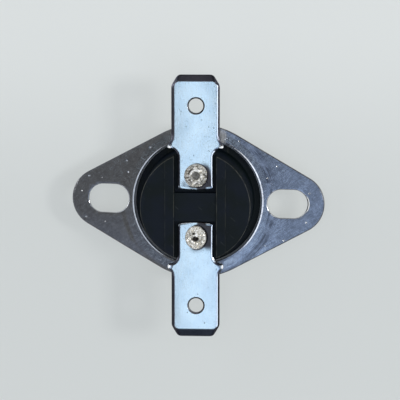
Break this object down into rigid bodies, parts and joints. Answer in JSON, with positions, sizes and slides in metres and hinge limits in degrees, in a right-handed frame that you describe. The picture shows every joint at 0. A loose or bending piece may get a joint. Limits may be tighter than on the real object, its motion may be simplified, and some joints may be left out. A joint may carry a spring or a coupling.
{
  "type": "bimetal thermostat",
  "caption": "Round snap-action bimetal disc thermostat with a black moulded body, flat push-on terminals, an aluminium sensing cap and a loose slotted mounting bracket.",
  "frame": {"origin": "centre of the flat sensing face on the underside of the cap", "axes": "+Z from the sensing face to the terminals, +X along the line of the bracket's slots, +Y nearly along the terminals, which are turned 1.5 degrees about Z in the loose bracket"},
  "size_m": [0.0336, 0.0346, 0.0113],
  "materials": {
    "bracket_plate": "bright plated",
    "cap_aluminium": "drawn, satin",
    "base_phenolic": "moulded, semi-gloss",
    "terminal_plate": "bright plated",
    "rivet_metal": "rolled, rough",
    "strip_brass": "rolled",
    "contact_silver": "silver faced",
    "spring_bronze": "rolled",
    "pin_ceramic": "matte",
    "guide_moulding": "moulded",
    "disc_bimetal": "rolled"
  },
  "bodies": {
    "case": {"sensing_cap": "cap_aluminium", "base": "base_phenolic", "terminal_upper": "terminal_plate", "terminal_lower": "terminal_plate", "rivet_upper": "rivet_metal", "rivet_lower": "rivet_metal", "fixed_contact_plate": "strip_brass", "fixed_contact": "contact_silver", "guide_plate": "guide_moulding", "bimetal_disc": "disc_bimetal"},
    "bracket": {"mounting_bracket": "bracket_plate"},
    "pin": {"push_pin": "pin_ceramic"},
    "contact_arm": {"contact_spring": "spring_bronze", "moving_contact": "contact_silver"}
  },
  "joints": [
    {"name": "bracket_swivel", "type": "hinge", "parent": "case", "child": "bracket", "pos_m": [0, 0, 0.0045], "axis": [0, 0, 1], "continuous": true},
    {"name": "pin_slide", "type": "slide", "parent": "case", "child": "pin", "axis": [0, 0, 1], "range_m": [0, 0.0004], "deforming": ["bimetal_disc"]},
    {"name": "arm_flex", "type": "hinge", "parent": "case", "child": "contact_arm", "pos_m": [0.00006, -0.0024, 0.0058], "axis": [0.9997, 0.0262, 0], "range_deg": [0, 9.55], "stiffness_Nm_per_rad": 0.014, "springref_deg": -5.73, "deforming": ["contact_spring"]}
  ],
  "couplings": [
    {"joint": "arm_flex", "follows": "pin_slide", "rad_per_m": 416.67}
  ]
}
